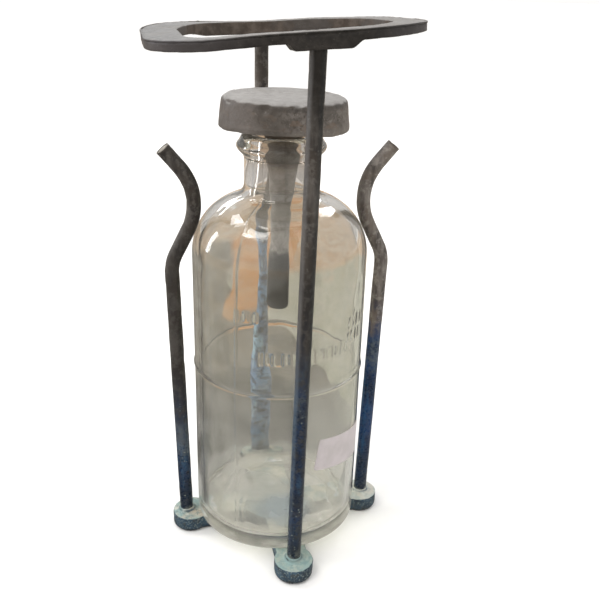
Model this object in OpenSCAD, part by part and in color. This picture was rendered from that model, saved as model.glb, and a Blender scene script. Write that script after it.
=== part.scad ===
// Acid bottle standing in a rod cage, with a loose lead stopper in its mouth.
// Millimetres, +Z up. The origin is the centre of the base's underside.
// +X is the right-hand prong, and -Y is the front rod.

/* [Base] */
// Radius of the circle on which the four rods stand
rod_circle_r = 34; // [33.4:0.1:36]
// Thickness of the base spider
base_t = 6; // [5:0.5:8]
// Distance from the centre to the middle of the left lobe
lobe_reach_left = 32.4; // [32.2:0.1:35]
// Distance from the centre to the middle of the right lobe
lobe_reach_right = 33.6; // [32.2:0.1:35]
// Distance from the centre to the middle of the front and back lobes
lobe_reach_y = 34.3; // [33:0.1:36]
// Radius of the round lobe at the end of each arm
lobe_r = 6.8; // [6.2:0.1:8]
// Width of each arm
arm_w = 11; // [8:0.2:12]

/* [Rods] */
// Diameter of the rods and prongs
rod_d = 4.8; // [4.4:0.1:5]
// Lean of the front rod towards +X, in degrees
front_lean = 0.9; // [0:0.1:1]
// Lean of the back rod towards -X, in degrees
back_lean = 0.3; // [0:0.1:1]

/* [Prongs] */
// Outward lean of the lower, straight part of each prong, in degrees
prong_lean = 1.3; // [1.2:0.1:1.6]
// Height at which the prong bends in over the bottle's shoulder
prong_bend_z = 101.6; // [101.4:0.1:103]
// Inward slope of the prong over the shoulder, in degrees from vertical
prong_in_angle = 27; // [25:0.5:27.5]
// Outward slope of the prong's tip, in degrees from vertical
prong_out_angle = 40.5; // [36:0.5:48]

/* [Yoke] */
// Height of the middle of the yoke's top face
yoke_top_z = 179.6; // [178:0.2:184]
// Length of the yoke, tab end to tab end
yoke_l = 81.8; // [79:0.2:84]
// Width of the yoke across the rods
yoke_w = 74.4; // [74:0.2:77]
// Thickness of the yoke's band
yoke_t = 3; // [2.8:0.1:4]
// Tilt of the yoke, right end up, in degrees
yoke_tilt = 4.1; // [0:0.1:4.6]
// Roll of the yoke, back side down, in degrees
yoke_roll = 0.8; // [0:0.1:1]
// Distance that the yoke sits to the left of the bottle's axis
yoke_shift = 1.9; // [0:0.1:2]

/* [Bottle] */
// Outer diameter of the bottle's body
bottle_d = 59; // [58:0.1:59]
// Height of the bottle
bottle_h = 140.8; // [138:0.2:142]
// Thickness of the glass wall
wall_t = 2.8; // [2:0.1:3.2]
// Thickness of the glass at the bottom
floor_t = 3.5; // [3:0.5:9]
// Diameter of the neck
neck_d = 24.2; // [23:0.1:26]
// Diameter of the lip
lip_d = 29.4; // [27:0.1:31]
// Diameter of the mouth
mouth_d = 13.8; // [13.6:0.1:15]
// Height of the acid line above the table
acid_line_z = 67.5; // [50:0.5:80]

/* [Stopper] */
// Diameter of the stopper's head
head_d = 42; // [36:0.2:44]
// Thickness of the stopper's head
head_t = 10.5; // [6:0.5:12]
// Length of the stopper below its head
stem_l = 61.8; // [50:0.2:70]
// Sideways cock of the loose stopper in the mouth, in degrees
stopper_cock = 0.6; // [0:0.1:0.8]
// Sideways shift of the loose stopper in the mouth
stopper_shift = 0.6; // [0:0.1:0.6]

/* [Label] */
// Width of the adhesive label, measured straight across
label_w = 25; // [18:1:28]
// Height of the adhesive label
label_h = 12; // [8:0.5:16]

/* [Hidden] */
$fn = 96;

rod_r = rod_d / 2;
rod_foot_z = 0.4;            // the rods' feet sit just inside the underside
base_edge_r = 1.5;           // rounding of the base's lower edges
hub_r = 12;                  // disc where the four arms meet
prong_hole_gap = 0.2;        // room for a prong to flex in its lobe

// Prong steps, from the foot up: [straight run, bend radius, turn in degrees, + is outward]
prong_bend_in_r = 13.5;
prong_bend_out_r = 19;
prong_mid_run = 9.3;
prong_tip_run = 7.5;
elbow_lap = 1;               // each bend runs this far into the straight runs, in degrees
elbow_step = 0.005;          // and is this much thinner, so that its ends lie inside them
prong_steps = [
    [prong_bend_z - rod_foot_z, prong_bend_in_r, -(prong_in_angle + prong_lean)],
    [prong_mid_run, prong_bend_out_r, prong_in_angle + prong_out_angle],
    [prong_tip_run, 0, 0]];

// Yoke: a rounded ring, with a lug under each long side for a rod
yoke_corner_r = 23;
yoke_open_l = 62.4;
yoke_open_w = 60.6;
yoke_open_corner_r = 22;
yoke_open_offset = 1.4;      // the opening's middle lies this far right of the outline's
lug_l = 16;
lug_drop = 1.9;              // depth of the lug below the band
lug_offset = 0.45;           // the lug's middle lies this far to the right of its rod
lug_fillet_r = 1.9;
rod_top_cover = 1.2;         // metal left above the end of a rod

// Bottle, as radii and heights above the origin
bottle_r = bottle_d / 2;
bore_r = bottle_r - wall_t;
heel_r = 0.8;
shoulder_r = 20;
shoulder_turn = 70;          // the shoulder's arc, in degrees
neck_blend_r = 4.5;
neck_r = neck_d / 2;
lip_r = lip_d / 2;
mouth_r = mouth_d / 2;
lip_h = 4.8;
mouth_l = 9;                 // length of the narrow mouth above the neck's bore
floor_corner_r = 3;
acid_line_h = 0.35;          // how far the moulded line stands out
acid_line_half = 0.7;
bottle_z = base_t;
bottle_top_z = bottle_z + bottle_h;
shoulder_z = bottle_top_z - 39.1;

// Stopper, from the underside of its head down
head_z = bottle_top_z + 2;
flare_r = 7.6;               // just under the head, above the lip
seat_r = 6.2;                // where the stopper passes the lip
plug_r = 5.3;
plug_low_r = 4.35;
waist_r = 2.95;
bulb_r = 3.75;

// Label
label_t = 0.12;
label_z = 41.5;
label_azimuth = -49;
label_slope = -9;

// Points along an arc, from its centre, its radius and its first and last angle
function arc(c, r, a1, a2, n = 10) =
    [for (i = [0:n]) let (a = a1 + (a2 - a1) * i / n) c + r * [cos(a), sin(a)]];

// A rod that follows its steps upwards from the origin, bending in the XZ plane
module bent_rod(steps, r, i = 0) {
    run = steps[i][0];
    bend_r = steps[i][1];
    turn = steps[i][2];
    side = sign(turn);
    cylinder(r = r, h = run);
    if (turn != 0) translate([side * bend_r, 0, run]) {
        rotate([90, 0, 0])
            rotate([0, 0, (side > 0 ? 180 - turn : 0) - elbow_lap])
                rotate_extrude(angle = abs(turn) + 2 * elbow_lap)
                    translate([bend_r, 0]) circle(r = r - elbow_step);
        rotate([0, turn, 0]) translate([-side * bend_r, 0, 0]) bent_rod(steps, r, i + 1);
    }
}

// Puts its child at the foot of the right-hand prong, leaning outward
module at_prong_foot() {
    translate([rod_circle_r, 0, rod_foot_z]) rotate([0, prong_lean, 0]) children();
}

// A straight rod's solid, from its foot to just under the yoke's top face
module straight_rod(side, lean) {
    intersection() {
        translate([0, side * rod_circle_r, rod_foot_z]) rotate([0, lean, 0])
            cylinder(r = rod_r, h = yoke_top_z + 10);
        at_yoke() translate([-yoke_l, -yoke_l, -2 * yoke_top_z])
            cube([2 * yoke_l, 2 * yoke_l, 2 * yoke_top_z - rod_top_cover]);
    }
}

// Half of an arm's end view: a flat bar with its lower edges rounded
module bar_section(half_w) {
    polygon(concat(
        [[0, 0]],
        arc([half_w - base_edge_r, base_edge_r], base_edge_r, -90, 0, 6),
        [[half_w, base_t], [0, base_t]]));
}

// One arm along +X with its round lobe
module arm(reach) {
    rotate([90, 0, 90]) linear_extrude(height = reach) {
        bar_section(arm_w / 2);
        mirror([1, 0]) bar_section(arm_w / 2);
    }
    translate([reach, 0, 0]) rotate_extrude() bar_section(lobe_r);
}

module base_spider() {
    color([0.36, 0.42, 0.45]) difference() {
        union() {
            arm(lobe_reach_right);
            rotate([0, 0, 180]) arm(lobe_reach_left);
            for (a = [90, 270]) rotate([0, 0, a]) arm(lobe_reach_y);
            rotate_extrude() bar_section(hub_r);
        }
        for (side = [0, 1]) mirror([side, 0, 0]) at_prong_foot()
            translate([0, 0, -2]) cylinder(r = rod_r + prong_hole_gap, h = base_t + 4);
        straight_rod(-1, front_lean);
        straight_rod(1, -back_lean);
    }
}

module front_rod() {
    color([0.28, 0.27, 0.27]) straight_rod(-1, front_lean);
}

module back_rod() {
    color([0.28, 0.27, 0.27]) straight_rod(1, -back_lean);
}

module right_prong() {
    color([0.29, 0.27, 0.25]) at_prong_foot() bent_rod(prong_steps, rod_r);
}

module left_prong() {
    color([0.29, 0.27, 0.25]) mirror([1, 0, 0]) at_prong_foot() bent_rod(prong_steps, rod_r);
}

// The yoke's own frame: its origin is the middle of the top face
module at_yoke() {
    translate([-yoke_shift, 0, yoke_top_z]) rotate([-yoke_roll, -yoke_tilt, 0]) children();
}

// A rectangle with round corners, centred on the origin
module rounded_rect(l, w, r) {
    square([l - 2 * r, w], center = true);
    square([l, w - 2 * r], center = true);
    for (x = [-1, 1], y = [-1, 1]) translate([x * (l / 2 - r), y * (w / 2 - r)]) circle(r = r);
}

// The lug's side view: a bar under the band, with a fillet up to the band at each end
module lug_side() {
    deep = yoke_t + lug_drop;
    translate([-lug_l / 2, -deep]) square([lug_l, deep]);
    for (end = [0, 1]) mirror([end, 0]) translate([lug_l / 2, -deep]) difference() {
        square([lug_fillet_r, deep]);
        translate([lug_fillet_r, 0]) circle(r = lug_fillet_r);
    }
}

// The yoke's band, as a plate of the given depth below the top face
module band(depth) {
    translate([0, 0, -depth]) linear_extrude(height = depth) difference() {
        rounded_rect(yoke_l, yoke_w, yoke_corner_r);
        translate([yoke_open_offset, 0]) rounded_rect(yoke_open_l, yoke_open_w, yoke_open_corner_r);
    }
}

// Sideways place of each rod where it meets the yoke, in the yoke's frame
front_top_x = yoke_top_z * tan(front_lean) + yoke_shift;
back_top_x = -yoke_top_z * tan(back_lean) + yoke_shift;

module yoke() {
    color([0.45, 0.44, 0.43]) difference() {
        at_yoke() {
            band(yoke_t);
            intersection() {
                band(yoke_t + lug_drop);
                union() {
                    translate([front_top_x + lug_offset, 0, 0]) rotate([90, 0, 0])
                        linear_extrude(height = yoke_w) lug_side();
                    translate([back_top_x + lug_offset, yoke_w, 0]) rotate([90, 0, 0])
                        linear_extrude(height = yoke_w) lug_side();
                }
            }
        }
        straight_rod(-1, front_lean);
        straight_rod(1, -back_lean);
    }
}

// Right half of the bottle's outline, then of its bore, as radius and height
neck_z = shoulder_z + shoulder_r * sin(shoulder_turn)
    + (bottle_r - shoulder_r * (1 - cos(shoulder_turn)) - neck_r
       - neck_blend_r * (1 - cos(shoulder_turn))) / tan(shoulder_turn)
    + neck_blend_r * sin(shoulder_turn);
lip_z = bottle_top_z - lip_h;

bottle_outline = concat(
    [[0, bottle_z]],
    arc([bottle_r - heel_r, bottle_z + heel_r], heel_r, -90, 0, 8),
    [[bottle_r, acid_line_z - acid_line_half], [bottle_r + acid_line_h, acid_line_z],
     [bottle_r, acid_line_z + acid_line_half]],
    arc([bottle_r - shoulder_r, shoulder_z], shoulder_r, 0, shoulder_turn, 14),
    arc([neck_r + neck_blend_r, neck_z], neck_blend_r, 180 + shoulder_turn, 180, 8),
    [[neck_r, lip_z - 1]],
    arc([lip_r - 2, lip_z + 2], 2, -60, 0, 5),
    arc([lip_r - 1.5, bottle_top_z - 1.5], 1.5, 0, 90, 5),
    [[0, bottle_top_z]]);

floor_z = bottle_z + floor_t;
inner_shoulder_r = shoulder_r - wall_t;
inner_blend_r = neck_blend_r + wall_t;
inner_neck_r = neck_r - wall_t;
mouth_z = bottle_top_z - mouth_l;

bore_outline = concat(
    [[0, floor_z]],
    arc([bore_r - floor_corner_r, floor_z + floor_corner_r], floor_corner_r, -90, 0, 8),
    arc([bottle_r - shoulder_r, shoulder_z], inner_shoulder_r, 0, shoulder_turn, 14),
    arc([neck_r + neck_blend_r, neck_z], inner_blend_r, 180 + shoulder_turn, 180, 8),
    [[inner_neck_r, mouth_z - 2], [mouth_r, mouth_z + 1.5], [mouth_r, bottle_top_z - 0.8]],
    [[mouth_r + 0.8, bottle_top_z], [mouth_r + 0.8, bottle_top_z + 1], [0, bottle_top_z + 1]]);

module bottle() {
    color([0.75, 0.76, 0.70, 0.45]) rotate_extrude() difference() {
        polygon(bottle_outline);
        polygon(bore_outline);
    }
}

// Right half of the stopper's outline, with heights below and above the head's underside
stopper_outline = concat(
    [[0, -stem_l]],
    arc([bulb_r - 1.6, -stem_l + 1.6], 1.6, -90, 0, 5),
    [[bulb_r, -stem_l + 8], [bulb_r - 0.1, -stem_l + 14], [waist_r, -stem_l + 24],
     [waist_r + 0.2, -stem_l + 30], [plug_low_r, -16], [plug_r, -8], [seat_r, -2.7],
     [flare_r, 0]],
    arc([head_d / 2 - 1, 1], 1, -90, 0, 4),
    arc([head_d / 2 - 1.8, head_t - 1.8], 1.6, 0, 90, 6),
    [[0, head_t]]);

module stopper() {
    color([0.52, 0.50, 0.48]) translate([stopper_shift, 0, head_z])
        rotate([0, stopper_cock, 0])
        rotate_extrude() polygon(stopper_outline);
}

module lot_label() {
    color([0.93, 0.90, 0.88]) intersection() {
        difference() {
            cylinder(r = bottle_r + label_t, h = acid_line_z - 2);
            cylinder(r = bottle_r, h = acid_line_z);
        }
        rotate([0, 0, label_azimuth]) translate([0, 0, label_z]) rotate([label_slope, 0, 0])
            translate([0, -label_w / 2, -label_h / 2]) cube([2 * bottle_r, label_w, label_h]);
    }
}

base_spider();
front_rod();
back_rod();
left_prong();
right_prong();
yoke();
bottle();
stopper();
lot_label();
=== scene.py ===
from math import copysign, cos, exp, pi, radians, sin, tan

import bpy
import numpy as np
from mathutils import Matrix, Vector


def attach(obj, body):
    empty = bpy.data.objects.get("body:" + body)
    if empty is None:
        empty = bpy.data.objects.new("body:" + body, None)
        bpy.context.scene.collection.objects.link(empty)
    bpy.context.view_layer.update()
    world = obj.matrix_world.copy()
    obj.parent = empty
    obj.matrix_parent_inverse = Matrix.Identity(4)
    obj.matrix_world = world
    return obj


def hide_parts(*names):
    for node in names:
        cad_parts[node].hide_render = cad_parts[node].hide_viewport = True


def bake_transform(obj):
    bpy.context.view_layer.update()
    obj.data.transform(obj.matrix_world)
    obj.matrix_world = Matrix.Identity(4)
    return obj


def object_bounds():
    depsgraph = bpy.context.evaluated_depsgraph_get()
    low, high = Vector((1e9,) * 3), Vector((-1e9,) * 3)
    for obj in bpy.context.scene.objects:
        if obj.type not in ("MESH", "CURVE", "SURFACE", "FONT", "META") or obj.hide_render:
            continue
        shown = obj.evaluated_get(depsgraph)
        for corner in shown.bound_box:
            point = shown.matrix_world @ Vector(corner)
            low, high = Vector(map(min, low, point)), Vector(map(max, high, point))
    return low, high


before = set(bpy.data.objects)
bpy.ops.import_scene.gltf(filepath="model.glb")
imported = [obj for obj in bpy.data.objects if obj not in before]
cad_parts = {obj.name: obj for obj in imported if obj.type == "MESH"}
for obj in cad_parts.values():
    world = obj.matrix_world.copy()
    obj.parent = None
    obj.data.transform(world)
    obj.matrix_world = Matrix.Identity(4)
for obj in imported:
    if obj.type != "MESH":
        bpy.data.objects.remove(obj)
CAD_BOX = [list(corner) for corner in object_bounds()]

# Sizes in millimetres, in the frame of the CAD model
ROD_CIRCLE = 34.0
ROD_R = 2.4
BASE_T = 6.0
FRONT_LEAN = radians(0.9)
BACK_LEAN = radians(-0.3)
PRONG_LEAN = radians(1.3)
# For each stretch of a prong: its straight run, and the radius and degrees of the bend after it
PRONG_BENDS = ((101.2, 13.5, -28.3), (9.3, 19.0, 67.5), (7.5, 0.0, 0.0))
PRONG_END = PRONG_LEAN + radians(sum(turn for run, radius, turn in PRONG_BENDS))
LOBES = ((33.6, 0.0), (-32.4, 0.0), (0.0, 34.3), (0.0, -34.3))
LOBE_R = 6.8
ARM_HALF = 5.5
HUB_R = 12.0
ROD_FOOT_Z = 0.4
ROD_STEP = 0.7
YOKE_L, YOKE_W, YOKE_T = 81.8, 74.4, 3.0
OPENING_L, OPENING_W, OPENING_X = 62.4, 60.6, 1.4
YOKE_TOP = 179.6
YOKE_SHIFT = 1.9
YOKE_TILT = radians(4.1)
YOKE_ROLL = radians(0.8)
BOTTLE_R = 29.5
BOTTLE_Z = 6.0
BOTTLE_TOP = 146.8
SHOULDER_Z = 107.7
SHOULDER_R = 20.0
SHOULDER_TURN = 70
WALL = 2.8
BORE_R = BOTTLE_R - WALL
ACID_LINE_Z = 67.5
SEAM_AZIMUTH = radians(-128.5)
THICK_AZIMUTH = radians(-109)
HEAD_Z = 148.8
HEAD_R = 21.0
HEAD_T = 10.5
STEM_L = 61.8
STOPPER_LEAN = radians(0.6)
STOPPER_SHIFT = 0.6
STEM_BEND = 0.7
LABEL_Z = 41.5
ON_AXIS = 0.02


# -------------------- noise and mesh helpers

def lattice(i, j, k, seed):
    """A repeatable value from -1 to 1 for each lattice point."""
    n = (i * 73856093) ^ (j * 19349663) ^ (k * 83492791) ^ (seed * 40503 + 7919)
    n = (n ^ (n >> 13)) & 0x7FFFFFFF
    n = (n * ((n * n * 15731 + 789221) & 0x7FFFFFFF) + 1376312589) & 0x7FFFFFFF
    return n / 1073741823.5 - 1.0


def value_noise(points, size, seed=0):
    """Smooth noise from -1 to 1, with features about size millimetres across."""
    q = np.asarray(points, float) / size
    cell = np.floor(q).astype(np.int64)
    f = q - cell
    f = f * f * (3 - 2 * f)
    total = np.zeros(len(q))
    for dx in (0, 1):
        for dy in (0, 1):
            for dz in (0, 1):
                weight = (np.where(dx, f[:, 0], 1 - f[:, 0]) * np.where(dy, f[:, 1], 1 - f[:, 1])
                          * np.where(dz, f[:, 2], 1 - f[:, 2]))
                total += weight * lattice(cell[:, 0] + dx, cell[:, 1] + dy, cell[:, 2] + dz, seed)
    return total


def fbm(points, size, seed=0, octaves=3):
    """Layered noise, each layer half the size and half the strength of the last."""
    total, strength = 0, 1.0
    for k in range(octaves):
        total = total + strength * value_noise(points, size / 2 ** k, seed + 17 * k)
        strength *= 0.5
    return total


def pits(points, size, seed=0, start=0.35):
    """0 over most of a surface, and up to 1 in scattered small pits."""
    return np.clip((value_noise(points, size, seed) - start) / (1 - start), 0, 1)


def smooth(low, high, x):
    """A smooth step from 0 at low to 1 at high."""
    t = np.clip((np.asarray(x, float) - low) / (high - low), 0, 1)
    return t * t * (3 - 2 * t)


def wrapped(angle):
    """The angle, from -pi to pi."""
    return (np.asarray(angle) + pi) % (2 * pi) - pi


def grid_faces(rows, columns, wrap=True):
    """Quads of a grid of rows by columns of vertices, joined round each row if wrap."""
    spans = columns if wrap else columns - 1
    r, c = np.meshgrid(np.arange(rows - 1) * columns, np.arange(spans), indexing="ij")
    r, c = r.ravel(), c.ravel()
    d = (c + 1) % columns
    return np.stack([r + c, r + d, r + columns + d, r + columns + c], 1)


def capped_tube(rows, around):
    """Faces of a tube of rows rings, with a cap at each end."""
    faces = [list(f) for f in grid_faces(rows, around)]
    return faces + [list(range(around))[::-1], [(rows - 1) * around + k for k in range(around)]]


def smooth_object(name, mesh):
    """An object of the mesh, shaded smooth and put in the scene."""
    mesh.polygons.foreach_set("use_smooth", [True] * len(mesh.polygons))
    mesh.update()
    obj = bpy.data.objects.new(name, mesh)
    bpy.context.scene.collection.objects.link(obj)
    return obj


def raw_mesh(name, points, faces):
    """A mesh object in metres from points in millimetres."""
    mesh = bpy.data.meshes.new(name)
    points = (np.asarray(points, float) * 0.001).tolist()
    mesh.from_pydata(points, [], [list(map(int, f)) for f in faces])
    mesh.validate()
    return smooth_object(name, mesh)


def in_box(points):
    """The points, kept inside the CAD model's box."""
    low, high = (np.array(corner) * 1000 for corner in CAD_BOX)
    return np.clip(points, low, high)


def vectors(items, attribute):
    values = np.zeros(len(items) * 3)
    items.foreach_get(attribute, values)
    return values.reshape(-1, 3)


def normals_of(obj):
    return vectors(obj.data.vertex_normals, "vector")


def points_of(obj):
    return vectors(obj.data.vertices, "co") * 1000


def set_points(obj, points):
    obj.data.vertices.foreach_set("co", (in_box(points) * 0.001).ravel())
    obj.data.update()


def displace(obj, height):
    """Moves each vertex along its normal by height millimetres."""
    set_points(obj, points_of(obj) + normals_of(obj) * height[:, None])


def finish_piece(obj, material, node, body=None):
    """Gives a piece its material, and tells the frame what it replaces and rides on."""
    obj.data.materials.clear()
    obj.data.materials.append(material)
    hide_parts(node)
    if body:
        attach(obj, body)


def ring_angles(around):
    return np.linspace(0, 2 * pi, around, endpoint=False)


def turned(u, v, angle):
    """The two coordinates after a turn by the angle."""
    return u * cos(angle) - v * sin(angle), u * sin(angle) + v * cos(angle)


def arc(cx, cy, r, a1, a2, n):
    """Points along an arc, with its angles in degrees."""
    a = np.radians(np.linspace(a1, a2, n + 1))
    return [(cx + r * cos(t), cy + r * sin(t)) for t in a]


def resample(points, step):
    """A polyline's points, at about equal steps."""
    p = np.array(points, float)
    length = np.concatenate([[0], np.cumsum(np.hypot(*np.diff(p, axis=0).T))])
    s = np.linspace(0, length[-1], max(2, int(round(length[-1] / step)) + 1))
    return np.stack([np.interp(s, length, p[:, 0]), np.interp(s, length, p[:, 1])], 1)


def soften(points, rounds=2):
    """Rounds a polyline's corners a little and keeps its ends."""
    p = np.array(points, float)
    for _ in range(rounds):
        p[1:-1] = 0.25 * p[:-2] + 0.5 * p[1:-1] + 0.25 * p[2:]
    return p


# -------------------- node helpers

class Shader:
    """A node material that is built up a few nodes at a time."""

    def __init__(self, name):
        self.material = bpy.data.materials.new(name)
        self.material.use_nodes = True
        self.tree = self.material.node_tree
        self.tree.nodes.clear()
        self.output = self.new("OutputMaterial")
        self.bsdf = self.new("BsdfPrincipled")
        self.show(self.bsdf.outputs[0])
        place = self.new("TexCoord")
        self.where = place.outputs["Object"]
        self.x, self.y, self.z = self.parts(self.where)
        self.facing_x, self.facing_y, self.up = self.parts(place.outputs["Normal"])

    def new(self, kind):
        return self.tree.nodes.new("ShaderNode" + kind)

    def show(self, surface):
        """Makes a shader socket the material's surface."""
        self.tree.links.new(surface, self.output.inputs[0])

    def feed(self, socket, value):
        if isinstance(value, bpy.types.NodeSocket):
            self.tree.links.new(value, socket)
        elif isinstance(value, tuple) and len(value) == 3 and socket.type == "RGBA":
            socket.default_value = (*value, 1)
        else:
            socket.default_value = value

    def spread(self, node, size_mm, shift, stretch):
        """Feeds a texture node the place on the piece, so that its features are about size_mm."""
        node.inputs["Scale"].default_value = 1000 / size_mm
        mapping = self.new("Mapping")
        mapping.inputs["Location"].default_value = shift
        mapping.inputs["Scale"].default_value = stretch
        self.tree.links.new(self.where, mapping.inputs["Vector"])
        self.tree.links.new(mapping.outputs[0], node.inputs["Vector"])
        return node.outputs[0]

    def noise(self, size_mm, detail=3, roughness=0.55, stretch=(1, 1, 1), seed=0.0):
        """Noise from 0 to 1 with features about size_mm across."""
        node = self.new("TexNoise")
        node.inputs["Detail"].default_value = detail
        node.inputs["Roughness"].default_value = roughness
        return self.spread(node, size_mm, (seed, 0.37 * seed, -0.71 * seed), stretch)

    def cells(self, size_mm, seed=0.0):
        """Distance to scattered points about size_mm apart."""
        return self.spread(self.new("TexVoronoi"), size_mm, (seed, seed, seed), (1, 1, 1))

    def parts(self, vector):
        node = self.new("SeparateXYZ")
        self.tree.links.new(vector, node.inputs[0])
        return node.outputs

    def math(self, operation, a, b=0.0, c=0.0):
        node = self.new("Math")
        node.operation = operation
        for socket, value in zip(node.inputs, (a, b, c)):
            self.feed(socket, value)
        return node.outputs[0]

    def add(self, a, b):
        return self.math("ADD", a, b)

    def times(self, a, b):
        return self.math("MULTIPLY", a, b)

    def scaled(self, value, by, plus):
        """The value times one number or socket, plus another."""
        return self.math("MULTIPLY_ADD", value, by, plus)

    def square_distance(self, x, y, x0=0.0, y0=0.0):
        """Squared distance in plan from the point x0, y0."""
        dx = self.add(x, -x0) if x0 else x
        dy = self.add(y, -y0) if y0 else y
        return self.add(self.times(dx, dx), self.times(dy, dy))

    def ramp(self, value, low, high, out_low=0.0, out_high=1.0):
        """A smooth step from out_low to out_high as value goes from low to high."""
        node = self.new("MapRange")
        node.interpolation_type = "SMOOTHSTEP"
        for name, v in (("Value", value), ("From Min", low), ("From Max", high),
                        ("To Min", out_low), ("To Max", out_high)):
            self.feed(node.inputs[name], v)
        return node.outputs[0]

    def mix(self, amount, a, b):
        node = self.new("Mix")
        node.data_type = "RGBA"
        node.clamp_factor = True
        self.feed(node.inputs[0], amount)
        self.feed(node.inputs[6], a)
        self.feed(node.inputs[7], b)
        return node.outputs[2]

    def over(self, base, color, value, low, high, out_low=0.0, out_high=1.0):
        """The base, with a color laid over it as strongly as the ramp of the value says."""
        return self.mix(self.ramp(value, low, high, out_low, out_high), base, color)

    def blend(self, amount, a, b):
        """One surface shader mixed into another."""
        node = self.new("MixShader")
        for socket, value in zip(node.inputs, (amount, a, b)):
            self.feed(socket, value)
        return node.outputs[0]

    def bump(self, height, strength, distance_mm):
        node = self.new("Bump")
        node.inputs["Strength"].default_value = strength
        node.inputs["Distance"].default_value = distance_mm * 0.001
        self.feed(node.inputs["Height"], height)
        return node.outputs[0]

    def set(self, **values):
        names = {"color": "Base Color", "rough": "Roughness", "metal": "Metallic", "normal": "Normal",
                 "ior": "IOR", "glass": "Transmission Weight", "spec": "Specular IOR Level"}
        for key, value in values.items():
            self.feed(self.bsdf.inputs[names[key]], value)
        return self.material


# -------------------- materials

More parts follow.
